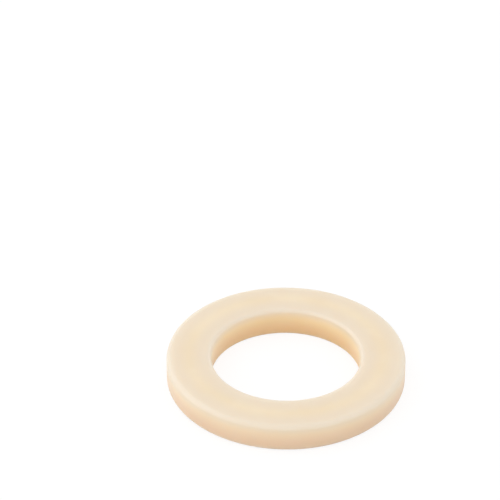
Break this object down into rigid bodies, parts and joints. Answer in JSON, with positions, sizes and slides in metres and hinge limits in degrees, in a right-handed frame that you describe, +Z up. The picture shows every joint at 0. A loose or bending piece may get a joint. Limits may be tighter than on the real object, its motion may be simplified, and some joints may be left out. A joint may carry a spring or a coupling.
{
  "type": "plastic sealing washer",
  "caption": "Flat ring of cream moulded nylon with rounded edges, which seals the face joint inside a threaded union nut.",
  "frame": {"origin": "on the bore's axis, at the underside", "axes": "+Z up along the bore's axis, out of the top sealing face; the ring is the same all round, so X and Y are any two directions square to it"},
  "size_m": [0.024, 0.024, 0.003],
  "materials": {
    "nylon": "satin"
  },
  "bodies": {
    "root": {"washer": "nylon"}
  },
  "joints": []
}
